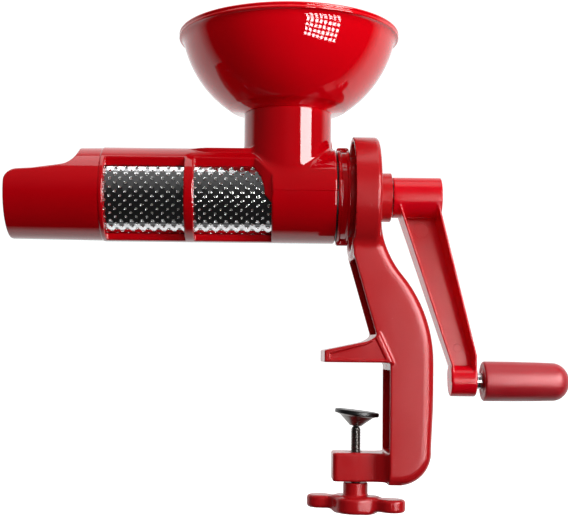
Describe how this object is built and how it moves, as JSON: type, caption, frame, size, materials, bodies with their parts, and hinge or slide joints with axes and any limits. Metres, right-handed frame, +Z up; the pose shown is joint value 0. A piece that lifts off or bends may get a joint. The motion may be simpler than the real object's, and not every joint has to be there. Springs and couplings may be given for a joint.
{
  "type": "hand crank food mill",
  "caption": "Clamp-on hand crank food mill with a bowl hopper, a windowed barrel over a perforated screen, a C-clamp stand and a crank with a turning grip.",
  "frame": {"origin": "table seat, the underside of the upper jaw, on the clamp screw's axis", "axes": "+Z up, out of the table; +X from the spout towards the crank, along the barrel's axis; +Y across"},
  "size_m": [0.4459, 0.176, 0.3817],
  "materials": {
    "gloss_red": "high gloss moulded red",
    "crank_red": "gloss moulded red",
    "frame_red": "semi-gloss moulded red",
    "grip_red": "satin moulded red",
    "screen_steel": "bright perforated stainless sheet",
    "shaft_steel": "turned steel",
    "screw_steel": "zinc plated",
    "black_rubber": "smooth",
    "bush_plastic": "natural nylon",
    "auger_plastic": "ivory moulded"
  },
  "bodies": {
    "stand": {"clamp_frame": "frame_red", "bearing_bush": "bush_plastic", "shaft_seal": "black_rubber", "clamp_nut": "screw_steel", "barrel_housing": "gloss_red", "housing_seal": "black_rubber", "strainer_screen": "screen_steel"},
    "ring": {"locking_ring": "gloss_red"},
    "hopper": {"hopper_bowl": "gloss_red"},
    "crank": {"auger": "auger_plastic", "auger_spring": "shaft_steel", "thrust_washer": "shaft_steel", "drive_shaft": "shaft_steel", "crank_arm": "crank_red", "crank_washer": "shaft_steel", "crank_screw": "shaft_steel", "grip_axle": "shaft_steel", "grip_retaining_ring": "shaft_steel"},
    "grip": {"hand_grip": "grip_red"},
    "pad_carrier": {"swivel_ball": "screw_steel"},
    "screw": {"clamp_screw": "screw_steel", "wing_knob": "frame_red"},
    "pad": {"pad_cup": "screw_steel", "pad_rubber": "black_rubber"}
  },
  "joints": [
    {"name": "crank_turn", "type": "hinge", "parent": "stand", "child": "crank", "pos_m": [0, 0, 0.132], "axis": [1, 0, 0], "continuous": true},
    {"name": "grip_spin", "type": "hinge", "parent": "crank", "child": "grip", "pos_m": [0.13, 0, -0.014], "axis": [1, 0, 0], "continuous": true},
    {"name": "ring_turn", "type": "hinge", "parent": "stand", "child": "ring", "pos_m": [-0.0126, 0, 0.132], "axis": [1, 0, 0], "range_deg": [0, 35]},
    {"name": "hopper_lift", "type": "slide", "parent": "stand", "child": "hopper", "axis": [0, 0, 1], "range_m": [0, 0.06]},
    {"name": "clamp_travel", "type": "slide", "parent": "stand", "child": "pad_carrier", "axis": [0, 0, 1], "range_m": [-0.01875, 0.00125]},
    {"name": "screw_turn", "type": "hinge", "parent": "pad_carrier", "child": "screw", "pos_m": [0, 0, -0.0473], "axis": [0, 0, 1], "range_deg": [-5400, 360]},
    {"name": "pad_tilt", "type": "hinge", "parent": "pad_carrier", "child": "pad", "pos_m": [0, 0, -0.0473], "axis": [0, 1, 0], "range_deg": [-13, 0]}
  ],
  "couplings": [
    {"joint": "clamp_travel", "follows": "screw_turn", "m_per_rad": 0.00019894}
  ]
}
